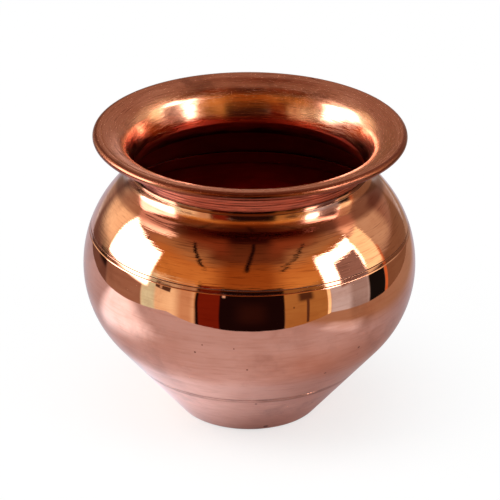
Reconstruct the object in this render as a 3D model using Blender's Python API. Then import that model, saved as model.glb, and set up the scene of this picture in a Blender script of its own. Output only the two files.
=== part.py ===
"""Copper lota: a spun water vessel with a flared, wire-edged mouth, a shoulder dome, a bowl and a base cup.

Metres, +Z up. The origin is the middle of the flat base, on the surface that the vessel stands on.
Every piece is a turned shell or ring. The sheets lap at three seams, each closed by a ring of brazing metal.
Outlines are lists of (radius, height) points that run down a piece's outer side and back up its inner side.
"""

import math

import bpy

# Sheet and seams
WALL = 0.0007
CLEARANCE = 0.00025
LAP_LENGTH = 0.005

# Body
BASE_RADIUS = 0.0254
BASE_CORNER_RADIUS = 0.002
BASE_SEAM_HEIGHT = 0.0216
BASE_SEAM_WIDTH = 0.0013
BELLY_RADIUS = 0.060
BELLY_HEIGHT = 0.0556
BOWL_ARC_RADIUS = 0.039
SHOULDER_SEAM_RISE = 0.0157
SHOULDER_SEAM_WIDTH = 0.0016

# Neck and mouth
NECK_RADIUS = 0.0428
NECK_RISE = 0.0374
NECK_LEAN = math.radians(11)
NECK_FILLET_RADIUS = 0.0105
NECK_BRAZE_HEIGHT = 0.0013
COLLAR_RISE = 0.0142
THROAT_LEAN = math.radians(14)
BEND_RADIUS = 0.008
BEND_START_LEAN = math.radians(22)
BEND_END_LEAN = math.radians(60)
RIM_REACH = 0.0131
RIM_CURL = math.radians(285)
WIRE_DIAMETER = 0.0011

# Facets
TURN_STEPS = 56
CURL_STEPS = 11
WIRE_STEPS = 10
FLARE_STEPS = 3
CORNER_STEPS = 3
SHEET_STEP = 0.005
NECK_STEP = 0.0015

# Places that follow from the sizes above
LAP_DEPTH = WALL + CLEARANCE
NECK_HEIGHT = BELLY_HEIGHT + NECK_RISE
SHOULDER_SEAM_HEIGHT = BELLY_HEIGHT + SHOULDER_SEAM_RISE
RIM_HEIGHT = NECK_HEIGHT + COLLAR_RISE
BEAD_RADIUS = WIRE_DIAMETER / 2 + LAP_DEPTH
BEAD_CENTRE = (NECK_RADIUS + RIM_REACH - BEAD_RADIUS, RIM_HEIGHT - BEAD_RADIUS)
NECK_FILLET_CENTRE = (
    NECK_RADIUS + NECK_FILLET_RADIUS * math.cos(NECK_LEAN),
    NECK_HEIGHT + NECK_FILLET_RADIUS * math.sin(NECK_LEAN),
)


def arc(centre, radius, start, end, steps):
    """Points on a circle from one angle to another, both ends included."""
    angles = [start + (end - start) * step / steps for step in range(steps + 1)]
    return [(centre[0] + radius * math.cos(a), centre[1] + radius * math.sin(a)) for a in angles]


def shoulder_arc_radius():
    """Radius of the arc that stands upright at the belly and runs smoothly into the neck's hollow arc."""
    across = NECK_FILLET_CENTRE[0] - BELLY_RADIUS
    up = NECK_FILLET_CENTRE[1] - BELLY_HEIGHT
    return (across**2 + up**2 - NECK_FILLET_RADIUS**2) / (2 * (NECK_FILLET_RADIUS - across))


def shoulder_top():
    """Height at which the shoulder's round arc meets the neck's hollow arc."""
    radius = shoulder_arc_radius()
    share = radius / (radius + NECK_FILLET_RADIUS)
    return BELLY_HEIGHT + share * (NECK_FILLET_CENTRE[1] - BELLY_HEIGHT)


def flank_lean():
    """Angle from upright of the bowl's straight flank, which runs from the base edge to touch the belly arc."""
    across = BASE_RADIUS - (BELLY_RADIUS - BOWL_ARC_RADIUS)
    reach = math.hypot(across, BELLY_HEIGHT)
    return math.asin(BOWL_ARC_RADIUS / reach) - math.atan2(across, BELLY_HEIGHT)


def flank_top():
    """Height at which the straight flank meets the belly arc."""
    return BELLY_HEIGHT - BOWL_ARC_RADIUS * math.sin(flank_lean())


def body_line(height):
    """Radius of the body's outer line at a height, and the two parts of the direction straight out of it."""
    if height > shoulder_top():
        up = (NECK_FILLET_CENTRE[1] - height) / NECK_FILLET_RADIUS
        out = math.sqrt(1 - up**2)
        return NECK_FILLET_CENTRE[0] - NECK_FILLET_RADIUS * out, out, up
    if height > flank_top():
        curve = shoulder_arc_radius() if height > BELLY_HEIGHT else BOWL_ARC_RADIUS
        up = (height - BELLY_HEIGHT) / curve
        out = math.sqrt(1 - up**2)
        return BELLY_RADIUS - curve * (1 - out), out, up
    lean = flank_lean()
    return BASE_RADIUS + height * math.tan(lean), math.cos(lean), -math.sin(lean)


def sheet_point(height, depth):
    """The point at a depth straight under the body's outer line at a height."""
    radius, out, up = body_line(height)
    return radius - depth * out, height - depth * up


def sheet_line(start, end, depth, longest=SHEET_STEP):
    """Points at one depth between two heights."""
    steps = max(2, math.ceil(abs(end - start) / longest))
    return [sheet_point(start + (end - start) * step / steps, depth) for step in range(steps + 1)]


def tongue_outside(seam, width):
    """Outer side of a lower sheet from the top of its tongue, down the step to the seam's lower line."""
    return sheet_line(seam + LAP_LENGTH, seam, LAP_DEPTH) + [sheet_point(seam - width, 0)]


def step_shift(width):
    """How far the inner bends of the step sit below its outer bends, so that the sheet keeps its thickness."""
    return WALL * math.tan(math.atan2(LAP_DEPTH, width) / 2)


def tongue_inside(seam, width):
    """Inner side of the same sheet from the foot of the step up to the top of its tongue."""
    foot = seam - width - step_shift(width)
    head = seam - step_shift(width)
    return [sheet_point(foot, WALL)] + sheet_line(head, seam + LAP_LENGTH, LAP_DEPTH + WALL)


def seam_ring(seam, width):
    """Wedge of brazing metal between the upper sheet's edge and the lower sheet's step."""
    slope = LAP_DEPTH / width
    foot_gap = CLEARANCE * math.hypot(1, slope) / slope
    height = width - CLEARANCE - foot_gap
    top = seam - CLEARANCE
    return [sheet_point(top, 0), sheet_point(top - height, 0), sheet_point(top, height * slope)]


def neck_line(depth):
    """Points at one depth down the hollow neck, as far as the collar's skirt reaches under the shoulder."""
    return sheet_line(NECK_HEIGHT, NECK_HEIGHT - LAP_LENGTH, depth, NECK_STEP)


def throat(depth):
    """Point where the collar's skirt bends into its flare, at a depth under the flare's upper side."""
    radius, height = sheet_point(NECK_HEIGHT, LAP_DEPTH)
    back = (WALL - depth) / math.cos((THROAT_LEAN + NECK_LEAN) / 2)
    tilt = (THROAT_LEAN - NECK_LEAN) / 2
    return radius - back * math.cos(tilt), height + back * math.sin(tilt)


def flare_radii():
    """Radii of the wall and brim arcs that carry the flare from the throat, round its bend, to the rim's top."""
    start, bend, level = THROAT_LEAN, BEND_START_LEAN, BEND_END_LEAN
    radius, height = throat(0)
    out = BEAD_CENTRE[0] - radius - BEND_RADIUS * (math.cos(bend) - math.cos(level))
    up = RIM_HEIGHT - height - BEND_RADIUS * (math.sin(level) - math.sin(bend))
    wall_out, wall_up = math.cos(start) - math.cos(bend), math.sin(bend) - math.sin(start)
    brim_out, brim_up = math.cos(level), 1 - math.sin(level)
    area = wall_out * brim_up - wall_up * brim_out
    return (out * brim_up - up * brim_out) / area, (wall_out * up - wall_up * out) / area


def flare(depth):
    """Points of the flare from its throat out to the top of the rim bead, at a depth under its upper side."""
    wall, brim = flare_radii()
    leans = [THROAT_LEAN, BEND_START_LEAN, BEND_END_LEAN, math.pi / 2]
    points = [throat(depth)]
    centre = throat(0)
    inner = 0
    for radius, start, end in zip([wall, BEND_RADIUS, brim], leans, leans[1:]):
        centre = (
            centre[0] + (radius - inner) * math.cos(start),
            centre[1] - (radius - inner) * math.sin(start),
        )
        points += arc(centre, radius - depth, math.pi - start, math.pi - end, FLARE_STEPS)[1:]
        inner = radius
    return points


def collar_outline():
    """Mouth collar: the flare, its edge curled round the wire, and a skirt spread out under the shoulder."""
    top = math.pi / 2
    curl_outside = arc(BEAD_CENTRE, BEAD_RADIUS, top, top - RIM_CURL, CURL_STEPS)
    curl_inside = arc(BEAD_CENTRE, BEAD_RADIUS - WALL, top - RIM_CURL, top, CURL_STEPS)
    outside = curl_outside + curl_inside[:-1] + flare(WALL)[::-1] + neck_line(LAP_DEPTH)[1:]
    inside = neck_line(LAP_DEPTH + WALL)[:0:-1] + flare(0)[:-1]
    return outside + inside


def wire_outline():
    return arc(BEAD_CENTRE, WIRE_DIAMETER / 2, 2 * math.pi, 0, WIRE_STEPS)[:-1]


def neck_ring():
    """Sliver of brazing metal that stands on the shoulder's top edge and leans against the collar's flare."""
    edge_radius, edge_height = sheet_point(NECK_HEIGHT, 0)
    wall_radius, wall_height = throat(WALL)
    fall, spread = math.tan(NECK_LEAN), math.tan(THROAT_LEAN)
    seat = edge_height + CLEARANCE / math.cos(NECK_LEAN)
    side = wall_radius + CLEARANCE / math.cos(THROAT_LEAN)
    foot_radius = (side + spread * (seat - fall * edge_radius - wall_height)) / (1 - spread * fall)
    foot_height = seat - fall * (edge_radius - foot_radius)
    tip = (foot_radius + spread * NECK_BRAZE_HEIGHT, foot_height + NECK_BRAZE_HEIGHT)
    return [tip, (edge_radius, seat), (foot_radius, foot_height)]


def shoulder_outline():
    """Shoulder: the hollow neck over the collar's skirt, and the dome down to the seam."""
    outside = sheet_line(NECK_HEIGHT - LAP_LENGTH, SHOULDER_SEAM_HEIGHT, 0)
    inside = sheet_line(SHOULDER_SEAM_HEIGHT, NECK_HEIGHT - LAP_LENGTH, WALL)
    return neck_line(0) + outside[1:] + inside + neck_line(WALL)[-2::-1]


def bowl_outline():
    """Bowl: a tongue behind the shoulder, the belly, and a plain lower edge over the base cup's tongue."""
    seam, width = SHOULDER_SEAM_HEIGHT, SHOULDER_SEAM_WIDTH
    outside = sheet_line(seam - width, BASE_SEAM_HEIGHT, 0)
    inside = sheet_line(BASE_SEAM_HEIGHT, seam - width - step_shift(width), WALL)
    return tongue_outside(seam, width) + outside[1:] + inside[:-1] + tongue_inside(seam, width)


def base_outline():
    """Base cup: a tongue behind the bowl, the flank, the round base corner and the flat floor."""
    seam, width = BASE_SEAM_HEIGHT, BASE_SEAM_WIDTH
    lean = flank_lean()
    corner_reach = BASE_CORNER_RADIUS * math.tan((math.pi / 2 - lean) / 2)
    corner_centre = (BASE_RADIUS - corner_reach, BASE_CORNER_RADIUS)
    corner_outside = arc(corner_centre, BASE_CORNER_RADIUS, -lean, -math.pi / 2, CORNER_STEPS)
    corner_inside = arc(corner_centre, BASE_CORNER_RADIUS - WALL, -math.pi / 2, -lean, CORNER_STEPS)
    floor = [(0, 0), (0, WALL)]
    return tongue_outside(seam, width) + corner_outside + floor + corner_inside + tongue_inside(seam, width)


def copper(name, colour, roughness):
    material = bpy.data.materials.new(name)
    material.use_nodes = True
    shader = material.node_tree.nodes["Principled BSDF"]
    shader.inputs["Base Color"].default_value = (*colour, 1)
    shader.inputs["Metallic"].default_value = 1
    shader.inputs["Roughness"].default_value = roughness
    return material


def turned(name, outline, material):
    """A piece turned on the vessel's axis. An outline that reaches the axis has no edge along it."""
    points = [(radius, 0, height) for radius, height in outline]
    sides = [(index, (index + 1) % len(points)) for index in range(len(points))]
    edges = [(first, last) for first, last in sides if outline[first][0] > 0 or outline[last][0] > 0]
    mesh = bpy.data.meshes.new(name)
    mesh.from_pydata(points, edges, [])
    mesh.materials.append(material)
    piece = bpy.data.objects.new(name, mesh)
    bpy.context.scene.collection.objects.link(piece)
    turn = piece.modifiers.new("turn", "SCREW")
    turn.axis = "Z"
    turn.angle = 2 * math.pi
    turn.steps = TURN_STEPS
    turn.render_steps = TURN_STEPS
    turn.use_merge_vertices = True
    turn.merge_threshold = 0.00001
    turn.use_smooth_shade = True
    return piece


def build():
    for leftover in list(bpy.data.objects):
        bpy.data.objects.remove(leftover)
    turned("mouth_collar", collar_outline(), copper("brushed collar", (0.69, 0.30, 0.18), 0.20))
    turned("rim_wire", wire_outline(), copper("drawn wire", (0.60, 0.27, 0.16), 0.35))
    turned("neck_braze", neck_ring(), copper("neck brazing metal", (0.62, 0.34, 0.17), 0.30))
    turned("shoulder_shell", shoulder_outline(), copper("brushed shoulder", (0.70, 0.31, 0.18), 0.18))
    shoulder_ring = seam_ring(SHOULDER_SEAM_HEIGHT, SHOULDER_SEAM_WIDTH)
    turned("shoulder_braze", shoulder_ring, copper("shoulder brazing metal", (0.64, 0.34, 0.19), 0.25))
    turned("bowl_shell", bowl_outline(), copper("mirror bowl", (0.72, 0.34, 0.23), 0.10))
    base_ring = seam_ring(BASE_SEAM_HEIGHT, BASE_SEAM_WIDTH)
    turned("base_braze", base_ring, copper("base brazing metal", (0.64, 0.34, 0.20), 0.25))
    turned("base_cup", base_outline(), copper("satin base", (0.67, 0.31, 0.22), 0.24))


build()
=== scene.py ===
"""Copper lota: its finished surfaces, a plain studio and the camera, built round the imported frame.

Metres, +Z up, in the frame's own axes. Each piece starts as one point, is drawn out along its half outline
of (radius, height) points, and is turned on the vessel's axis.
"""

import math

import bpy
from mathutils import Matrix, Vector


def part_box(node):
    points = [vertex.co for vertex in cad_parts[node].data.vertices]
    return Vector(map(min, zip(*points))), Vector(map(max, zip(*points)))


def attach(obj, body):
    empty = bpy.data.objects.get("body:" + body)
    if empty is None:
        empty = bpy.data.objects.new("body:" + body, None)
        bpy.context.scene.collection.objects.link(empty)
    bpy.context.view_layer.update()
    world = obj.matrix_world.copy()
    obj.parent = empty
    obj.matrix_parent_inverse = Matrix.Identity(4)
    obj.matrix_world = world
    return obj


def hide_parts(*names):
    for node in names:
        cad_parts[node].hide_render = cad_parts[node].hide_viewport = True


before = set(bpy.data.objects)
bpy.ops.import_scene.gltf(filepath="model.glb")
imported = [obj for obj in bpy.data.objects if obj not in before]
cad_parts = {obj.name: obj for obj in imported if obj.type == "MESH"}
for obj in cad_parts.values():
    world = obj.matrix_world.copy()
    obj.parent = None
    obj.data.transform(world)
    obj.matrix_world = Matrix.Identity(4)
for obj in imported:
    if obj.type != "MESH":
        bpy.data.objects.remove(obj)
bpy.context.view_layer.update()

# Sheet, seams and edges
WALL = 0.0007
FRAME_GAP = 0.00025
LAP_DEPTH = WALL + FRAME_GAP
LAP_LENGTH = 0.005
HAIRLINE = 0.00012
SOFT_EDGE = 0.00012
HOLD_EDGE = 0.0002
BASE_SEAM_WIDTH = 0.0013
SHOULDER_SEAM_WIDTH = 0.0016

# Body, from the frame where it shows the size
BELLY_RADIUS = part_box("bowl_shell")[1].x
BELLY_HEIGHT = 0.0556
BOWL_ARC_RADIUS = 0.039
BASE_RADIUS = 0.0254
BASE_CORNER_RADIUS = 0.002
BASE_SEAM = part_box("bowl_shell")[0].z
SHOULDER_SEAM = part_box("shoulder_braze")[1].z + FRAME_GAP

# Neck and mouth
NECK_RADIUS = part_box("neck_braze")[1].x
NECK_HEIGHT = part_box("shoulder_shell")[1].z
NECK_LEAN = math.radians(11)
NECK_FILLET_RADIUS = 0.0105
NECK_BRAZE_HEIGHT = 0.0013
NECK_BRAZE_SAG = 0.16
THROAT_LEAN = math.radians(14)
BEND_RADIUS = 0.008
BEND_START_LEAN = math.radians(22)
BEND_END_LEAN = math.radians(60)
RIM_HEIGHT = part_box("mouth_collar")[1].z
RIM_CURL = math.radians(285)
WIRE_RADIUS = 0.00055
WIRE_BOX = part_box("rim_wire")
BEAD_CENTRE = (WIRE_BOX[1].x - WIRE_RADIUS, (WIRE_BOX[0].z + WIRE_BOX[1].z) / 2)
BEAD_RADIUS = RIM_HEIGHT - BEAD_CENTRE[1]
NECK_FILLET_CENTRE = (
    NECK_RADIUS + NECK_FILLET_RADIUS * math.cos(NECK_LEAN),
    NECK_HEIGHT + NECK_FILLET_RADIUS * math.sin(NECK_LEAN),
)

# Turned grooves: fine ones round the outside of the throat, and one along the inside of the rim bead
THROAT_GROOVE_PITCH = 0.0012
THROAT_GROOVE_DEPTH = 0.000035
THROAT_GROOVE_BEAT = 2.3
THROAT_GROOVE_SWING = 0.45
RIM_GROOVE_DEPTH = 0.00008
RIM_GROOVE_LEAN = math.radians(84)
RIM_GROOVE_WIDTH = math.radians(1.3)

# Fineness of the turned meshes
TURN_STEPS = 240
SHEET_STEP = 0.0009
FLARE_STEPS = 42
CORNER_STEPS = 18
CURL_STEPS = 40
WIRE_STEPS = 16
NECK_FACE_STEPS = 8
EDGE_SEGMENTS = 4
EDGE_ANGLE = math.radians(28)
SMOOTH_ANGLE = math.radians(24)
OUTLINE_MERGE = 0.000001
TURN_MERGE = 0.000002

# Faces that count as the vessel's inside: how far they turn to the axis, and the height of the base's floor
INWARD_TURN = -0.1
BASE_FLOOR_TOP = 1.2 * BASE_CORNER_RADIUS

# Camera: the photograph's viewing angle, from its 500 pixel square image
CAMERA_ELEVATION = math.radians(25.3)
CAMERA_DISTANCE = 1.084
CAMERA_TARGET = Vector((0.0002, 0, 0.060))
CAMERA_ROLL = math.radians(0.28)
CAMERA_LENS = 216
SENSOR_WIDTH = 36

# Colours of the copper: polished, tarnished, painted shade round the neck, on the bead and at the throat's
# edge, and unpolished on the inside with painted bounced light and shade
RED_COPPER = (0.80, 0.40, 0.28)
DEEP_COPPER = (0.72, 0.33, 0.22)
# Dark copper for stains, streaks, flecks and dark joints, and also for the painted shade under the brim's
# bend
TARNISH_AND_SHADE_COPPER = (0.15, 0.035, 0.020)
# Painted shade of the neck's outside just under the brim
NECK_SHADE_COPPER = (0.60, 0.110, 0.045)
# Painted shade in the hollow where the neck meets the shoulder
HOLLOW_SHADE_COPPER = (0.15, 0.020, 0.008)
# Painted shade and painted red reflection at the throat's inner edge
THROAT_EDGE_SHADE_COPPER = (0.34, 0.044, 0.018)
# Painted shade on the outer half of the rim bead
BEAD_SHADE_COPPER = (0.22, 0.040, 0.016)
# Inside colours: dull copper, reddened as painted bounced light and darkened as painted shade
BOTTOM_COPPER = (0.50, 0.105, 0.050)
INSIDE_COPPER = (0.70, 0.070, 0.042)
SHADED_INSIDE_COPPER = (0.36, 0.032, 0.020)
THROAT_COPPER = (0.42, 0.038, 0.022)
BLACK = (0, 0, 0)
WHITE = (1, 1, 1)

# Noises of the copper: scale, detail and roughness
DENTS = (45, 2, 0.5)
MOTTLE = (90, 5, 0.5)
PATCHES = (38, 6, 0.65)

# Turned rings of the copper: pitch as a multiple of the piece's own, change on the way round, and detail
FINE_RINGS = (1, 6, 3)
BROAD_RINGS = (6, 2, 2)
BROAD_RING_DEPTH = 2.5

# Shares of the noises in the copper's change of tone, and how far the rings shift the edge of a finish
MOTTLE_TONE = 0.45
BROAD_TONE = 0.25
FINE_TONE = 0.3
BROAD_SHIFT = 0.006
FINE_SHIFT = 0.005

# Noise values between which streaks, stains and the rings' gloss come up, and the roughness of the inside
STREAK_RINGS = (0.55, 0.70)
STAIN_PATCHES = (0.52, 0.70)
GLOSS_RINGS = (0.3, 0.7)
INSIDE_ROUGHNESS = 0.45

# Dark specks on the bowl and a nick at the base's edge: place and size
SPECKS = [
    (-0.0162, -0.0575, 0.0508, 0.0003),
    (-0.0187, -0.0561, 0.0473, 0.0004),
    (-0.0052, -0.0594, 0.0503, 0.0003),
    (-0.0006, -0.0572, 0.0410, 0.0004),
    (0.0026, -0.0412, 0.0191, 0.0005),
    (0.0062, -0.0262, 0.0020, 0.0010),
]
SPECK_DEPTH = 0.85
SPECK_CORE = 0.6
SPECK_EDGE = 1.2

# Fine flecks over the copper: cells to the metre, share of cells without one, edge within a cell, and depth
FLECK_SCALE = 260
FLECKLESS_SHARE = 0.965
FLECK_EDGE = (0.10, 0.16)
FLECK_DEPTH = 0.7

# Heights where the polish of the mouth ends inside, and of the soot just under the base seam
POLISH_LINE = 0.0940
SOOT_DROP = 0.0006
SOOT_LINE = BASE_SEAM - SOOT_DROP

# Zones of the finish, as ramps that are multiplied: what a ramp follows, its ends, and its strength at each
COPPER_ZONES = {
    "tone": [("tone", 0.38, 0.62, 0, 1)],
    "base soot": [("soot distance", 0.0006, 0.0018, 1, 0), ("patches", 0.40, 0.62, 0.12, 0.55)],
    # Painted shade in the hollow between neck and shoulder
    "hollow": [("height", 0.0845, 0.0865, 0, 1), ("height", 0.0898, 0.0908, 0.78, 0)],
    "neck lines": [("fine rings", 0.46, 0.62, 0, 0.6)],
    # Painted shade on the collar's outer wall, which leans in under the brim
    "under brim shade": [("upward", -0.22, -0.12, 0.9, 0), ("height", 0.090, 0.094, 0, 1)],
    # Painted shade on the faces that turn down under the brim's bend
    "brim underside shade": [("upward", -0.75, -0.34, 0.8, 0), ("height", 0.090, 0.094, 0, 1)],
    # Painted shade on the outer half of the rim bead
    "rim bead": [("radius", 0.0540, 0.0548, 0, 0.8), ("height", 0.090, 0.094, 0, 1)],
    # Painted shade and red reflection just above where the polish ends inside
    "throat edge shade": [("ragged height", POLISH_LINE, POLISH_LINE + 0.0025, 1, 0)],
    "unpolished": [("ragged height", POLISH_LINE - 0.0024, POLISH_LINE + 0.0012, 1, 0)],
    # Random patches of the darker inside colour
    "dark patches": [("dark patches", 0.35, 0.70, 0.75, 0)],
    # Painted shadow, black towards the bottom of the collar's skirt inside
    "skirt": [("height", 0.0872, 0.0878, 0, 1), ("ragged height", 0.0872, 0.0932, 0.88, 0)],
    # Painted shade, black on ledges inside that face up
    "ledge": [("upward", 0.25, 0.6, 0, 0.95), ("height", 0.03, 0.04, 0, 1)],
    "brim gloss": [("height", 0.098, 0.105, 0.7, 1)],
    "rubbed": [("height", 0.0855, 0.0895, 0, 0.10), ("height", 0.0925, 0.0935, 1, 0)],
}

# Colours of the inside above its bottom, dull copper reddened as painted bounced light and darkened as
# painted shade: start and end of the change, and the colour above it
INSIDE_BANDS = [
    (0.030, 0.050, INSIDE_COPPER),
    (0.057, 0.070, SHADED_INSIDE_COPPER),
    (0.084, 0.092, THROAT_COPPER),
]

# Floor: size, place just under the vessel, and colours by themselves and as a sheet in the metal
FLOOR_SIZE = 12
FLOOR_DROP = 0.00005
FLOOR_ROUGHNESS = 0.9
FLOOR_COLOUR = (0.98, 0.98, 0.98)
SHEET_COLOUR = (0.53, 0.495, 0.545)
DIM_SHEET_COLOUR = (0.42, 0.295, 0.20)
SHADED_SHEET_COLOUR = (0.47, 0.325, 0.28)
GLOW_COLOUR = (0.64, 0.82, 1.0)

# Zones of the floor, written as the copper's are. Paper is the share of plain white that the camera sees
FLOOR_ZONES = {
    "dim side": [("x", 0.105, 0.165, 0, 1)],
    "shaded side": [("x", -0.006, 0.05, 0, 1), ("reach", 0.05, 0.12, 1, 0)],
    "paper": [("reach", 0.032, 0.105, 0.64, 0.97)],
    "past the sides": [("sideways", 0.24, 0.25, 0, 1)],
    "past the front": [("y", -0.20, -0.195, 1, 0)],
}

# Glows of the floor in the metal, written as its zones are
FLOOR_GLOWS = {
    "near": [
        ("reach", 0.0255, 0.034, 0.06, 0.30), ("reach", 0.036, 0.085, 1, 0.28),
        ("reach", 0.10, 0.13, 1, 0), ("x", -0.01, 0.03, 1, 0.45),
    ],
    "right": [
        ("x", 0.098, 0.118, 0, 0.42), ("x", 0.138, 0.160, 1, 0),
        ("y", -0.140, -0.112, 0, 1), ("y", -0.062, -0.042, 1, 0),
    ],
    "foot": [("x", -0.030, 0.002, 0.42, 0), ("reach", 0.034, 0.062, 1, 0)],
    "left": [("x", -0.112, -0.074, 1.5, 0), ("y", -0.085, -0.035, 0, 1), ("y", 0.012, 0.04, 1, 0)],
}

# Soft lamps for the floor: place, size and power
LAMPS = {
    "left lamp": ((-0.9, -0.3, 0.9), 0.7, 8),
    "right lamp": ((0.9, -0.5, 0.9), 0.7, 4),
}

# Light of the surround on the floor, and the azimuths where its camera side turns into its rear
FLOOR_LIGHT = (0.75, 0.75, 0.75)
REAR_EDGE = (70, 110)

# Cards of the studio surround: left, right, bottom and top edge in degrees, softness of the edges, lean of
# the upright edges as degrees sideways for each degree up, and colour.
# Azimuth 0 is the camera's side and grows to the right; elevation 0 is level with the vessel.
CARDS = {
    "front shade": (-24, 22, 14, 60, 10, 0, (0.36, 0.115, 0.018)),
    "front upper shade": (-36, 34, 40, 60, 7, 0, (0.15, 0.048, 0.017)),
    "front left top shade": (-78, -20, 49, 76, 8, 0, (0.24, 0.060, 0.020)),
    "front right top shade": (20, 78, 49, 76, 8, 0, (0.27, 0.075, 0.026)),
    "front top shade": (-28, 28, 57, 76, 8, 0, (0.045, 0.007, 0.004)),
    "rear left top shade": (-185, -158, 48, 84, 10, 0, (0.20, 0.055, 0.023)),
    "rear right top shade": (170, 185, 48, 84, 8, 0, (0.20, 0.055, 0.023)),
    "right rear glow": (100, 128, 6, 52, 5, 0, (0.69, 0.56, 0.38)),
    "rear right low glow": (164, 185, -2, 12, 4, 0, (0.85, 0.60, 0.50)),
    "rear left low shade": (-185, -162, 2, 22, 6, 0, (0.28, 0.15, 0.08)),
    "rear left paper": (-185, -148, -35, -8, 4, 0, (0.85, 0.85, 0.85)),
    "rear right paper": (150, 185, -35, -8, 4, 0, (0.80, 0.80, 0.80)),
    "left dark card": (-148, -112, -35, 4, 3, 0, (0.22, 0.13, 0.10)),
    "left brown card": (-112, -77, -35, 2, 2, 0, (0.42, 0.28, 0.20)),
    "left black card": (-125, -114, -9, 9, 1.5, 0, (0.03, 0.015, 0.015)),
    "left cream card": (-77, -37, -35, 14.5, 1, 0, (1.19, 1.13, 0.74)),
    "left pale card": (-77, -66, -35, 12, 1.5, 0, (0.94, 1.32, 1.00)),
    "left amber card": (-49, -37, -35, 15.5, 4, 0, (0.75, 0.51, 0.29)),
    "left dark strip": (-66, -54, 4, 9.5, 0.5, 0, (0.14, 0.08, 0.045)),
    "left dark strip gap": (-62.5, -60.5, 4.5, 9, 0.4, 0, (0.70, 0.55, 0.35)),
    "left rear glow": (-142, -114, 0, 34, 7, 0, (1.30, 1.15, 0.74)),
    "left softbox": (-115, -73, 1.5, 29, 2, 0, (10, 10, 9.5)),
    "left leaning softbox": (-123, -109, 30, 47, 1.6, 1.9, (2.2, 1.9, 1.6)),
    "front dark card": (-36, 24, -35, 18, 0.7, 0, (0.012, 0.004, 0.004)),
    "front red card": (-34, -20, -35, 18, 0.7, 0, (0.20, 0.020, 0.006)),
    "front panel": (-7, 10, -14, 4, 6, 0, (0.030, 0.009, 0.006)),
    "front lamp": (-18.5, -16.5, 9, 12, 0.6, 0, (0.9, 0.75, 0.6)),
    "right amber card": (24, 55, -35, 16, 1, 0, (0.50, 0.29, 0.085)),
    "right amber shade": (33.5, 43.5, 3, 12, 2, 0, (0.10, 0.045, 0.020)),
    "right amber strip": (38.4, 40.4, -17, 4, 0.4, 0, (0.13, 0.06, 0.03)),
    "right cream edge": (53.5, 56, -35, 14, 0.5, 0, (1.6, 1.5, 0.9)),
    "right cool card": (56, 88, -35, 13, 1, 0, (0.72, 0.86, 1.00)),
    "right cool shade": (72, 88, -35, 13, 3, 0, (0.46, 0.48, 0.52)),
    "right brown card": (106, 150, -35, 4, 2, 0, (0.27, 0.16, 0.09)),
    "right black card": (88, 104, -20, 1, 1, 0, (0.01, 0.01, 0.01)),
    "right orange stripe": (104, 107, -25, 12, 0.5, 0, (0.8, 0.25, 0.08)),
    "right softbox": (54, 90, 8, 34, 1.5, 0, (10, 10, 9.3)),
    "right softbox shade": (65, 88, 4, 26, 1, 0, (0.38, 0.28, 0.25)),
    "right cream stripe": (89, 105, 2, 32, 1, 0, (1.7, 1.6, 1.0)),
    "right upper glow": (93, 112, 33, 43, 3, 0, (1.35, 1.0, 0.72)),
    "left thin strip": (-37, -33, 32, 51, 0.5, -1.2, (0.012, 0.003, 0.003)),
    "middle thin strip": (-4.5, -0.6, 35, 61, 0.5, 0.3, (0.012, 0.003, 0.003)),
    "right thin strip": (22, 26, 33, 51, 0.5, 1.8, (0.012, 0.003, 0.003)),
}

# Colours of the surround behind the cards at some elevations, on the camera's side and behind the vessel
FRONT_BANDS = [
    (-90, (0.60, 0.58, 0.56)), (-10, (0.40, 0.28, 0.18)), (14, (0.80, 0.42, 0.10)), (33, (0.66, 0.30, 0.07)),
    (42, (0.46, 0.28, 0.12)), (62, (0.16, 0.07, 0.04)), (80, (0.34, 0.21, 0.15)),
]
REAR_BANDS = [
    (-90, (0.55, 0.53, 0.52)), (-10, (0.45, 0.36, 0.28)), (12, (0.38, 0.23, 0.16)), (38, (0.36, 0.21, 0.15)),
    (46, (0.55, 0.40, 0.32)), (54, (0.38, 0.23, 0.16)), (80, (0.36, 0.22, 0.155)),
]

# Sockets of a Mix node that mixes colours: share, two colours and result
MIX_SHARE = 0
MIX_FIRST = 6
MIX_SECOND = 7
MIX_RESULT = 2


def arc(centre, radius, start, end, steps):
    """Points on a circle from one angle to another, both ends included."""
    angles = [start + (end - start) * step / steps for step in range(steps + 1)]
    return [(centre[0] + radius * math.cos(a), centre[1] + radius * math.sin(a)) for a in angles]


def shoulder_arc_radius():
    across = NECK_FILLET_CENTRE[0] - BELLY_RADIUS
    up = NECK_FILLET_CENTRE[1] - BELLY_HEIGHT
    return (across**2 + up**2 - NECK_FILLET_RADIUS**2) / (2 * (NECK_FILLET_RADIUS - across))


def shoulder_top():
    radius = shoulder_arc_radius()
    share = radius / (radius + NECK_FILLET_RADIUS)
    return BELLY_HEIGHT + share * (NECK_FILLET_CENTRE[1] - BELLY_HEIGHT)


def flank_lean():
    across = BASE_RADIUS - (BELLY_RADIUS - BOWL_ARC_RADIUS)
    reach = math.hypot(across, BELLY_HEIGHT)
    return math.asin(BOWL_ARC_RADIUS / reach) - math.atan2(across, BELLY_HEIGHT)


def body_line(height):
    """Radius of the body's outer line at a height, and the two parts of the direction straight out of it."""
    lean = flank_lean()
    if height > shoulder_top():
        up = (NECK_FILLET_CENTRE[1] - height) / NECK_FILLET_RADIUS
        out = math.sqrt(1 - up**2)
        return NECK_FILLET_CENTRE[0] - NECK_FILLET_RADIUS * out, out, up
    if height > BELLY_HEIGHT - BOWL_ARC_RADIUS * math.sin(lean):
        curve = shoulder_arc_radius() if height > BELLY_HEIGHT else BOWL_ARC_RADIUS
        up = (height - BELLY_HEIGHT) / curve
        out = math.sqrt(1 - up**2)
        return BELLY_RADIUS - curve * (1 - out), out, up
    return BASE_RADIUS + height * math.tan(lean), math.cos(lean), -math.sin(lean)


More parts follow.
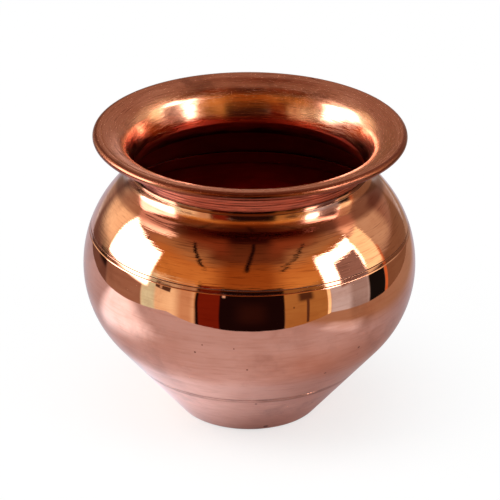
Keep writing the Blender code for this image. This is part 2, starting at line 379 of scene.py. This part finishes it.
def sheet_point(height, depth):
    """The point at a depth straight under the body's outer line at a height."""
    radius, out, up = body_line(height)
    return radius - depth * out, height - depth * up


def sheet_line(start, end, depth):
    """Points along the sheet, with a close one near either end so that an edge there stays crisp."""
    steps = max(2, math.ceil(abs(end - start) / SHEET_STEP))
    hold = HOLD_EDGE / abs(end - start)
    shares = sorted({step / steps for step in range(steps + 1)} | {hold, 1 - hold})
    return [sheet_point(start + (end - start) * share, depth) for share in shares]


def tongue_outside(seam, width):
    return sheet_line(seam + LAP_LENGTH, seam, LAP_DEPTH) + [sheet_point(seam - width, 0)]


def step_shift(width):
    return WALL * math.tan(math.atan2(LAP_DEPTH, width) / 2)


def tongue_inside(seam, width):
    foot = seam - width - step_shift(width)
    head = seam - step_shift(width)
    return [sheet_point(foot, WALL)] + sheet_line(head, seam + LAP_LENGTH, LAP_DEPTH + WALL)


def seam_ring(seam, width):
    """Wedge of brazing metal that fills the seam but for a hairline on either side."""
    slope = LAP_DEPTH / width
    height = width - HAIRLINE - HAIRLINE * math.hypot(1, slope) / slope
    top = seam - HAIRLINE
    return sheet_line(top, top - height, 0) + [sheet_point(top, height * slope)]


def neck_line(depth):
    return sheet_line(NECK_HEIGHT, NECK_HEIGHT - LAP_LENGTH, depth)


def throat(depth):
    """Point where the collar's skirt bends into its flare, at a depth under the flare's upper side."""
    radius, height = sheet_point(NECK_HEIGHT, LAP_DEPTH)
    back = (WALL - depth) / math.cos((THROAT_LEAN + NECK_LEAN) / 2)
    tilt = (THROAT_LEAN - NECK_LEAN) / 2
    return radius - back * math.cos(tilt), height + back * math.sin(tilt)


def flare_radii():
    """Radii of the wall and brim arcs that carry the flare from the throat, round its bend, to the rim."""
    start, bend, level = THROAT_LEAN, BEND_START_LEAN, BEND_END_LEAN
    radius, height = throat(0)
    out = BEAD_CENTRE[0] - radius - BEND_RADIUS * (math.cos(bend) - math.cos(level))
    up = RIM_HEIGHT - height - BEND_RADIUS * (math.sin(level) - math.sin(bend))
    wall_out, wall_up = math.cos(start) - math.cos(bend), math.sin(bend) - math.sin(start)
    brim_out, brim_up = math.cos(level), 1 - math.sin(level)
    area = wall_out * brim_up - wall_up * brim_out
    return (out * brim_up - up * brim_out) / area, (wall_out * up - wall_up * out) / area


def groove(lean, wall, depth):
    """Depth of the turned grooves at a lean of the flare, on its upper or its under side."""
    if depth == 0:
        return RIM_GROOVE_DEPTH * math.exp(-(((lean - RIM_GROOVE_LEAN) / RIM_GROOVE_WIDTH) ** 2))
    if lean > BEND_START_LEAN:
        return 0
    turns = wall * (lean - THROAT_LEAN) / THROAT_GROOVE_PITCH
    uneven = 1 - THROAT_GROOVE_SWING + THROAT_GROOVE_SWING * math.sin(THROAT_GROOVE_BEAT * turns)
    return -THROAT_GROOVE_DEPTH * uneven * math.sin(math.pi * turns) ** 2


def flare(depth):
    """Points of the flare from its throat to the top of the rim bead, at a depth under its upper side."""
    wall, brim = flare_radii()
    leans = [THROAT_LEAN, BEND_START_LEAN, BEND_END_LEAN, math.pi / 2]
    points = [throat(depth)]
    centre = throat(0)
    inner = 0
    for radius, start, end in zip([wall, BEND_RADIUS, brim], leans, leans[1:]):
        centre = (
            centre[0] + (radius - inner) * math.cos(start),
            centre[1] - (radius - inner) * math.sin(start),
        )
        for step in range(1, FLARE_STEPS + 1):
            lean = start + (end - start) * step / FLARE_STEPS
            reach = radius - depth - groove(lean, wall, depth)
            points.append((centre[0] - reach * math.cos(lean), centre[1] + reach * math.sin(lean)))
        inner = radius
    return points


def collar_outline():
    top = math.pi / 2
    curl_outside = arc(BEAD_CENTRE, BEAD_RADIUS, top, top - RIM_CURL, CURL_STEPS)
    curl_inside = arc(BEAD_CENTRE, BEAD_RADIUS - WALL, top - RIM_CURL, top, CURL_STEPS)
    outside = curl_outside + curl_inside[:-1] + flare(WALL)[::-1] + neck_line(LAP_DEPTH)[1:]
    return outside + neck_line(LAP_DEPTH + WALL)[:0:-1] + flare(0)


def wire_outline():
    return arc(BEAD_CENTRE, WIRE_RADIUS, 2 * math.pi, 0, WIRE_STEPS)


def neck_ring():
    """Hollow-faced sliver of brazing metal that stands on the shoulder's top edge and leans on the flare."""
    edge_radius, edge_height = sheet_point(NECK_HEIGHT, 0)
    wall_radius, wall_height = throat(WALL)
    fall, spread = math.tan(NECK_LEAN), math.tan(THROAT_LEAN)
    seat = edge_height + HAIRLINE / math.cos(NECK_LEAN)
    side = wall_radius + HAIRLINE / math.cos(THROAT_LEAN)
    foot_radius = (side + spread * (seat - fall * edge_radius - wall_height)) / (1 - spread * fall)
    foot_height = seat - fall * (edge_radius - foot_radius)
    tip_radius = foot_radius + spread * NECK_BRAZE_HEIGHT
    tip_height = foot_height + NECK_BRAZE_HEIGHT
    face = []
    for step in range(NECK_FACE_STEPS + 1):
        share = step / NECK_FACE_STEPS
        sag = NECK_BRAZE_HEIGHT * NECK_BRAZE_SAG * share * (1 - share)
        radius = tip_radius + (edge_radius - tip_radius) * share - sag
        height = tip_height + (seat - tip_height) * share
        face.append((radius, height))
    return face + [(foot_radius, foot_height), face[0]]


def shoulder_outline():
    outside = sheet_line(NECK_HEIGHT - LAP_LENGTH, SHOULDER_SEAM, 0)
    inside = sheet_line(SHOULDER_SEAM, NECK_HEIGHT - LAP_LENGTH, WALL)
    return neck_line(0) + outside[1:] + inside + neck_line(WALL)[-2::-1] + neck_line(0)[:1]


def bowl_outline():
    outside = sheet_line(SHOULDER_SEAM - SHOULDER_SEAM_WIDTH, BASE_SEAM, 0)
    foot = SHOULDER_SEAM - SHOULDER_SEAM_WIDTH - step_shift(SHOULDER_SEAM_WIDTH)
    inside = sheet_line(BASE_SEAM, foot, WALL)
    start = tongue_outside(SHOULDER_SEAM, SHOULDER_SEAM_WIDTH)
    end = tongue_inside(SHOULDER_SEAM, SHOULDER_SEAM_WIDTH)
    return start + outside[1:] + inside[:-1] + end + start[:1]


def base_outline():
    """Outline from the axis on the inside of the floor, over the tongue, to the axis on the underside."""
    lean = flank_lean()
    corner_reach = BASE_CORNER_RADIUS * math.tan((math.pi / 2 - lean) / 2)
    corner_centre = (BASE_RADIUS - corner_reach, BASE_CORNER_RADIUS)
    corner_outside = arc(corner_centre, BASE_CORNER_RADIUS, -lean, -math.pi / 2, CORNER_STEPS)
    corner_inside = arc(corner_centre, BASE_CORNER_RADIUS - WALL, -math.pi / 2, -lean, CORNER_STEPS)
    flank_outside = sheet_line(BASE_SEAM - BASE_SEAM_WIDTH, corner_outside[0][1], 0)
    inside = [(0, WALL)] + corner_inside + tongue_inside(BASE_SEAM, BASE_SEAM_WIDTH)
    outside = tongue_outside(BASE_SEAM, BASE_SEAM_WIDTH) + flank_outside[1:-1] + corner_outside + [(0, 0)]
    return inside + outside


def closed(outline):
    """The outline with its first point again at its end, unless it has it or runs from axis to axis."""
    if outline[0] == outline[-1] or outline[0][0] == 0:
        return outline
    return outline + outline[:1]


def turned(name, outline):
    """Draws the half outline out from one point, turns it on the axis, and softens its edges."""
    bpy.ops.object.select_all(action="DESELECT")
    bpy.ops.mesh.primitive_plane_add(size=WALL, location=(outline[0][0], 0, outline[0][1]))
    piece = bpy.context.object
    piece.name = name
    piece.data.name = name
    bpy.ops.object.transform_apply()
    bpy.ops.object.mode_set(mode="EDIT")
    bpy.ops.mesh.merge(type="CENTER")
    for (radius, height), (next_radius, next_height) in zip(outline, outline[1:]):
        move = (next_radius - radius, 0, next_height - height)
        bpy.ops.mesh.extrude_vertices_move(TRANSFORM_OT_translate={"value": move})
    bpy.ops.mesh.select_all(action="SELECT")
    bpy.ops.mesh.remove_doubles(threshold=OUTLINE_MERGE)
    bpy.ops.mesh.select_all(action="SELECT")
    bpy.ops.mesh.spin(steps=TURN_STEPS, angle=2 * math.pi, center=(0, 0, 0), axis=(0, 0, 1))
    bpy.ops.mesh.select_all(action="SELECT")
    bpy.ops.mesh.remove_doubles(threshold=TURN_MERGE)
    bpy.ops.mesh.normals_make_consistent(inside=False)
    bpy.ops.object.mode_set(mode="OBJECT")
    edge = piece.modifiers.new("soft edges", "BEVEL")
    edge.width = SOFT_EDGE
    edge.segments = EDGE_SEGMENTS
    edge.limit_method = "ANGLE"
    edge.angle_limit = EDGE_ANGLE
    bpy.ops.object.modifier_apply(modifier=edge.name)
    bpy.ops.object.shade_smooth_by_angle(angle=SMOOTH_ANGLE)
    return piece


def mark_inside(piece):
    """Stores on each point whether it is on the vessel's inside, where the copper is left dull."""
    marks = []
    for point in piece.data.vertices:
        x, y, z = point.co
        radius = math.hypot(x, y)
        outward = (point.normal.x * x + point.normal.y * y) / max(radius, WALL)
        inward = outward < INWARD_TURN
        if z < BASE_FLOOR_TOP:
            inward = outward < point.normal.z
        elif z < NECK_HEIGHT:
            inward = inward or body_line(z)[0] - radius > WALL / 2
        marks.append(float(inward))
    layer = piece.data.attributes.new("inside", "FLOAT", "POINT")
    layer.data.foreach_set("value", marks)


def node(tree, kind, values=None, **settings):
    """Adds a node. Values go to its sockets, as numbers, colours or other nodes' sockets."""
    made = tree.nodes.new(kind)
    for key, value in settings.items():
        setattr(made, key, value)
    for key, value in (values or {}).items():
        if isinstance(value, bpy.types.NodeSocket):
            tree.links.new(value, made.inputs[key])
        else:
            made.inputs[key].default_value = value
    return made


def calc(tree, operation, *values):
    return node(tree, "ShaderNodeMath", dict(enumerate(values)), operation=operation).outputs[0]


def times(tree, first, second):
    return calc(tree, "MULTIPLY", first, second)


def axis_distance(tree, x, y):
    return calc(tree, "SQRT", calc(tree, "ADD", times(tree, x, x), times(tree, y, y)))


def noise(tree, vector, scale, detail, roughness=0.5):
    sockets = {"Vector": vector, "Scale": scale, "Detail": detail, "Roughness": roughness}
    return node(tree, "ShaderNodeTexNoise", sockets).outputs["Fac"]


def remap(tree, value, low, high, to_low, to_high, shape="SMOOTHSTEP"):
    sockets = {"Value": value, "From Min": low, "From Max": high, "To Min": to_low, "To Max": to_high}
    return node(tree, "ShaderNodeMapRange", sockets, interpolation_type=shape).outputs["Result"]


def zone(tree, at, ramps):
    """Strength of a zone: its ramps multiplied, each over one of the values that are read at a point."""
    strength = None
    for follows, *ends in ramps:
        ramp = remap(tree, at[follows], *ends)
        strength = ramp if strength is None else times(tree, strength, ramp)
    return strength


def blend_colours(tree, share, first, second):
    """Mixes two colours, each given as red, green and blue or as a node's socket."""
    sockets = {MIX_SHARE: share}
    for key, colour in ((MIX_FIRST, first), (MIX_SECOND, second)):
        sockets[key] = colour if isinstance(colour, bpy.types.NodeSocket) else (*colour, 1)
    return node(tree, "ShaderNodeMix", sockets, data_type="RGBA").outputs[MIX_RESULT]


def copper_surface(tree, ring_pitch, along):
    """What the copper reads at a point, by name: its place on the vessel, and noises for the finish."""
    place = node(tree, "ShaderNodeTexCoord").outputs["Object"]
    x, y, height = node(tree, "ShaderNodeSeparateXYZ", {0: place}).outputs
    radius = axis_distance(tree, x, y)
    ring = calc(tree, "ADD", times(tree, radius, along[0]), times(tree, height, along[1]))
    turn_x = calc(tree, "DIVIDE", x, radius)
    turn_y = calc(tree, "DIVIDE", y, radius)

    def rings(pitch, change, detail):
        lines = {
            0: calc(tree, "DIVIDE", ring, ring_pitch * pitch),
            1: times(tree, turn_x, change),
            2: times(tree, turn_y, change),
        }
        return noise(tree, node(tree, "ShaderNodeCombineXYZ", lines).outputs[0], 1, detail)

    fine = rings(*FINE_RINGS)
    broad = rings(*BROAD_RINGS)
    dents = noise(tree, place, *DENTS)
    mottle = noise(tree, place, *MOTTLE)
    face = node(tree, "ShaderNodeNewGeometry").outputs["True Normal"]
    shift = calc(tree, "ADD", times(tree, broad, BROAD_SHIFT), times(tree, fine, FINE_SHIFT))
    centred_shift = calc(tree, "SUBTRACT", shift, (BROAD_SHIFT + FINE_SHIFT) / 2)
    ring_tone = calc(tree, "ADD", times(tree, broad, BROAD_TONE), times(tree, fine, FINE_TONE))
    return {
        "place": place,
        "height": height,
        "radius": radius,
        "upward": node(tree, "ShaderNodeSeparateXYZ", {0: face}).outputs[2],
        "inner side": node(tree, "ShaderNodeAttribute", attribute_name="inside").outputs["Fac"],
        "fine rings": fine,
        "broad rings": broad,
        "dents": dents,
        "patches": noise(tree, place, *PATCHES),
        "ragged height": calc(tree, "ADD", height, centred_shift),
        "soot distance": calc(tree, "ABSOLUTE", calc(tree, "SUBTRACT", height, SOOT_LINE)),
        "dark patches": calc(tree, "ADD", mottle, calc(tree, "SUBTRACT", broad, dents)),
        "tone": calc(tree, "ADD", times(tree, mottle, MOTTLE_TONE), ring_tone),
    }


def inside_colour(tree, at, zones):
    """Dull copper with painted bounced red light and painted shade that change with height, darker in random
    patches, and black as painted shade on the collar's skirt and on ledges.
    """
    colour = BOTTOM_COPPER
    for start, end, above in INSIDE_BANDS:
        colour = blend_colours(tree, remap(tree, at["ragged height"], start, end, 0, 1), colour, above)
    colour = blend_colours(tree, zones["dark patches"], colour, SHADED_INSIDE_COPPER)
    # Painted shade: black on the skirt and on the ledges inside
    return blend_colours(tree, calc(tree, "MAXIMUM", zones["skirt"], zones["ledge"]), colour, BLACK)


def dark_spots(tree, place):
    """Fine flecks strewn over the copper, and the specks that have a place of their own."""
    cells = node(tree, "ShaderNodeTexVoronoi", {"Vector": place, "Scale": FLECK_SCALE, "Randomness": 1})
    chance = node(tree, "ShaderNodeSeparateColor", {0: cells.outputs["Color"]}).outputs[0]
    chosen = calc(tree, "GREATER_THAN", chance, FLECKLESS_SHARE)
    spots = times(tree, chosen, remap(tree, cells.outputs["Distance"], *FLECK_EDGE, FLECK_DEPTH, 0))
    for x, y, z, size in SPECKS:
        away = node(tree, "ShaderNodeVectorMath", {0: place, 1: (x, y, z)}, operation="DISTANCE")
        speck = remap(tree, away.outputs["Value"], size * SPECK_CORE, size * SPECK_EDGE, SPECK_DEPTH, 0)
        spots = calc(tree, "MAXIMUM", spots, speck)
    return spots


def copper(
    material_name, roughness, ring_pitch, ring_depth, dent_depth,
    along=(0, 1), stain=0.35, streak=0.1, tarnish=0,
):
    """Polished copper with turned rings, dull inside the vessel with painted bounced light and shade, and
    painted shade round the neck, under the brim, on the bead and at the throat's inner edge.

    along says how a ring's place follows radius and height. stain, streak and tarnish are the strength of
    darker patches, of darker rings and of an even darkening.
    """
    material = bpy.data.materials.new(material_name)
    material.use_nodes = True
    tree = material.node_tree
    shader = tree.nodes["Principled BSDF"]
    shader.inputs["Metallic"].default_value = 1
    at = copper_surface(tree, ring_pitch, along)
    zones = {name: zone(tree, at, ramps) for name, ramps in COPPER_ZONES.items()}
    inside = times(tree, at["inner side"], zones["unpolished"])

    layers = [
        (zones["tone"], DEEP_COPPER),
        (remap(tree, at["fine rings"], *STREAK_RINGS, 0, streak), TARNISH_AND_SHADE_COPPER),
        (remap(tree, at["patches"], *STAIN_PATCHES, 0, stain), TARNISH_AND_SHADE_COPPER),
        (dark_spots(tree, at["place"]), TARNISH_AND_SHADE_COPPER),
        (tarnish, TARNISH_AND_SHADE_COPPER),
        (zones["base soot"], TARNISH_AND_SHADE_COPPER),
        # Painted shade in the neck's hollow
        (zones["hollow"], HOLLOW_SHADE_COPPER),
        # Painted shade under the brim, with the turned lines in it darker
        (zones["under brim shade"], blend_colours(tree, zones["neck lines"], NECK_SHADE_COPPER, TARNISH_AND_SHADE_COPPER)),
        # Painted shade under the brim's bend
        (zones["brim underside shade"], TARNISH_AND_SHADE_COPPER),
        # Painted shade on the rim bead
        (zones["rim bead"], BEAD_SHADE_COPPER),
        # Painted shade and red reflection at the throat's inner edge
        (times(tree, at["inner side"], zones["throat edge shade"]), THROAT_EDGE_SHADE_COPPER),
        # Dull inside, with painted bounced light and painted shade
        (inside, inside_colour(tree, at, zones)),
    ]
    colour = RED_COPPER
    for share, layer in layers:
        colour = blend_colours(tree, share, colour, layer)
    tree.links.new(colour, shader.inputs["Base Color"])

    gloss = times(tree, remap(tree, at["fine rings"], *GLOSS_RINGS, *roughness), zones["brim gloss"])
    gloss = calc(tree, "ADD", gloss, zones["rubbed"])
    tree.links.new(remap(tree, inside, 0, 1, gloss, INSIDE_ROUGHNESS, "LINEAR"), shader.inputs["Roughness"])

    depths = {
        "dents": dent_depth,
        "broad rings": ring_depth * BROAD_RING_DEPTH,
        "fine rings": ring_depth,
    }
    bump = {"Strength": 1}
    for follows, depth in depths.items():
        bump.update({"Distance": depth, "Height": at[follows]})
        bump["Normal"] = node(tree, "ShaderNodeBump", bump).outputs[0]
    tree.links.new(bump["Normal"], shader.inputs["Normal"])
    return material


def floor_material():
    """Pale floor: near white to the camera, and a sheet with a bright left and a dim right in the metal."""
    material = bpy.data.materials.new("pale floor")
    material.use_nodes = True
    tree = material.node_tree
    shader = tree.nodes["Principled BSDF"]
    shader.inputs["Roughness"].default_value = FLOOR_ROUGHNESS
    shader.inputs["Specular IOR Level"].default_value = 0
    shader.inputs["Emission Color"].default_value = (*GLOW_COLOUR, 1)
    rays = node(tree, "ShaderNodeLightPath").outputs
    place = node(tree, "ShaderNodeTexCoord").outputs["Object"]
    x, y = node(tree, "ShaderNodeSeparateXYZ", {0: place}).outputs[:2]
    at = {"x": x, "y": y, "reach": axis_distance(tree, x, y), "sideways": calc(tree, "ABSOLUTE", x)}
    zones = {name: zone(tree, at, ramps) for name, ramps in FLOOR_ZONES.items()}

    sheet = blend_colours(tree, zones["dim side"], SHEET_COLOUR, DIM_SHEET_COLOUR)
    sheet = blend_colours(tree, zones["shaded side"], sheet, SHADED_SHEET_COLOUR)
    tint = blend_colours(tree, rays["Is Glossy Ray"], FLOOR_COLOUR, sheet)
    tree.links.new(tint, shader.inputs["Base Color"])
    glow = 0
    for ramps in FLOOR_GLOWS.values():
        glow = calc(tree, "ADD", glow, zone(tree, at, ramps))
    tree.links.new(times(tree, glow, rays["Is Glossy Ray"]), shader.inputs["Emission Strength"])

    white = node(tree, "ShaderNodeEmission", {"Color": (*WHITE, 1), "Strength": 1}).outputs[0]
    clear = node(tree, "ShaderNodeBsdfTransparent").outputs[0]
    paper = times(tree, rays["Is Camera Ray"], zones["paper"])
    past_sheet = calc(tree, "MAXIMUM", zones["past the sides"], zones["past the front"])
    beyond = times(tree, rays["Is Glossy Ray"], past_sheet)
    seen = node(tree, "ShaderNodeMixShader", {0: paper, 1: shader.outputs[0], 2: white}).outputs[0]
    mixed = node(tree, "ShaderNodeMixShader", {0: beyond, 1: seen, 2: clear}).outputs[0]
    tree.links.new(mixed, tree.nodes["Material Output"].inputs["Surface"])
    return material


def bands(tree, level, stops):
    ramp = node(tree, "ShaderNodeValToRGB", {0: level})
    ramp.color_ramp.elements.remove(ramp.color_ramp.elements[0])
    for index, (height, colour) in enumerate(stops):
        share = (height + 90) / 180
        stop = ramp.color_ramp.elements[0] if index == 0 else ramp.color_ramp.elements.new(share)
        stop.position = share
        stop.color = (*colour, 1)
    return ramp.outputs[0]


def surround():
    """World light: white to the camera, soft and even on the floor, and a ring of cards in the metal."""
    world = bpy.data.worlds.new("studio")
    bpy.context.scene.world = world
    world.use_nodes = True
    world.cycles.sampling_method = "NONE"
    tree = world.node_tree
    rays = node(tree, "ShaderNodeLightPath").outputs
    direction = node(tree, "ShaderNodeTexCoord").outputs["Generated"]
    x, y, z = node(tree, "ShaderNodeSeparateXYZ", {0: direction}).outputs
    azimuth = calc(tree, "DEGREES", calc(tree, "ARCTAN2", x, times(tree, y, -1)))
    elevation = calc(tree, "DEGREES", calc(tree, "ARCSINE", z))
    level = remap(tree, elevation, -90, 90, 0, 1, "LINEAR")
    behind = remap(tree, calc(tree, "ABSOLUTE", azimuth), *REAR_EDGE, 0, 1)
    seen = blend_colours(tree, behind, bands(tree, level, FRONT_BANDS), bands(tree, level, REAR_BANDS))
    for left, right, bottom, top, soft, lean, colour in CARDS.values():
        place = azimuth
        if lean:
            raised = calc(tree, "SUBTRACT", elevation, bottom)
            place = calc(tree, "SUBTRACT", azimuth, times(tree, raised, lean))
        across = times(
            tree,
            remap(tree, place, left - soft, left + soft, 0, 1),
            remap(tree, place, right - soft, right + soft, 1, 0),
        )
        upright = times(
            tree,
            remap(tree, elevation, bottom - soft, bottom + soft, 0, 1),
            remap(tree, elevation, top - soft, top + soft, 1, 0),
        )
        seen = blend_colours(tree, times(tree, across, upright), seen, colour)
    plain = blend_colours(tree, rays["Is Camera Ray"], FLOOR_LIGHT, WHITE)
    light = blend_colours(tree, rays["Is Glossy Ray"], plain, seen)
    tree.links.new(light, tree.nodes["Background"].inputs["Color"])
    tree.nodes["Background"].inputs["Strength"].default_value = 1


def add_lamp(name, place, size, power):
    """Soft lamp for the floor; the metal shows the surround's softboxes instead."""
    bpy.ops.object.light_add(type="AREA", location=place)
    lamp = bpy.context.object
    lamp.name = name
    lamp.data.shape = "SQUARE"
    lamp.data.size = size
    lamp.data.energy = power
    lamp.rotation_euler = (-Vector(place)).to_track_quat("-Z", "Y").to_euler()
    lamp.visible_glossy = False
    lamp.visible_camera = False


def add_camera():
    away = Vector((0, -math.cos(CAMERA_ELEVATION), math.sin(CAMERA_ELEVATION)))
    bpy.ops.object.camera_add(location=CAMERA_TARGET + CAMERA_DISTANCE * away)
    camera = bpy.context.object
    turn = (-away).to_track_quat("-Z", "Y").to_matrix() @ Matrix.Rotation(CAMERA_ROLL, 3, "Z")
    camera.rotation_euler = turn.to_euler()
    camera.data.sensor_width = SENSOR_WIDTH
    camera.data.lens = CAMERA_LENS
    bpy.context.scene.camera = camera


def add_floor():
    bpy.ops.mesh.primitive_plane_add(size=FLOOR_SIZE, location=(0, 0, -FLOOR_DROP))
    floor = bpy.context.object
    floor.name = "floor"
    floor.data.materials.append(floor_material())


def add_piece(name, outline, slot, **finish):
    """Models a piece of the vessel in place of its node, and gives it its copper."""
    piece = turned("fine_" + name, closed(outline))
    mark_inside(piece)
    piece.data.materials.append(copper(**finish))
    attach(piece, "root")
    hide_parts(name)


add_camera()
add_floor()
surround()
for lamp_name, lamp_settings in LAMPS.items():
    add_lamp(lamp_name, *lamp_settings)
bpy.context.scene.view_settings.view_transform = "Standard"

add_piece(
    "mouth_collar", collar_outline(), "collar_copper", material_name="turned collar", roughness=(0.18, 0.32),
    ring_pitch=0.0005, ring_depth=0.000016, dent_depth=0.00005, along=(1, 1), stain=0.6, streak=0.4,
)
add_piece(
    "rim_wire", wire_outline(), "wire_copper", material_name="drawn wire", roughness=(0.25, 0.35),
    ring_pitch=0.0004, ring_depth=0.000005, dent_depth=0.00001,
)
add_piece(
    "neck_braze", neck_ring(), "braze", material_name="neck braze", roughness=(0.12, 0.22),
    ring_pitch=0.0004, ring_depth=0.000008, dent_depth=0.00003, tarnish=0.8,
)
add_piece(
    "shoulder_shell", shoulder_outline(), "shoulder_copper", material_name="brushed shoulder",
    roughness=(0.03, 0.065), ring_pitch=0.00038, ring_depth=0.000018, dent_depth=0.00009, streak=0.34,
)
add_piece(
    "shoulder_braze", seam_ring(SHOULDER_SEAM, SHOULDER_SEAM_WIDTH), "braze", material_name="shoulder braze",
    roughness=(0.08, 0.16), ring_pitch=0.0005, ring_depth=0.000004, dent_depth=0.00003, tarnish=0.4,
)
add_piece(
    "bowl_shell", bowl_outline(), "bowl_copper", material_name="mirror bowl", roughness=(0.02, 0.05),
    ring_pitch=0.0009, ring_depth=0.000002, dent_depth=0.00011, stain=0.25, streak=0.06,
)
add_piece(
    "base_braze", seam_ring(BASE_SEAM, BASE_SEAM_WIDTH), "braze", material_name="base braze",
    roughness=(0.08, 0.16), ring_pitch=0.0005, ring_depth=0.000004, dent_depth=0.00003,
)
add_piece(
    "base_cup", base_outline(), "base_copper", material_name="satin base", roughness=(0.06, 0.12),
    ring_pitch=0.0006, ring_depth=0.000005, dent_depth=0.00005, along=(1, 1),
)
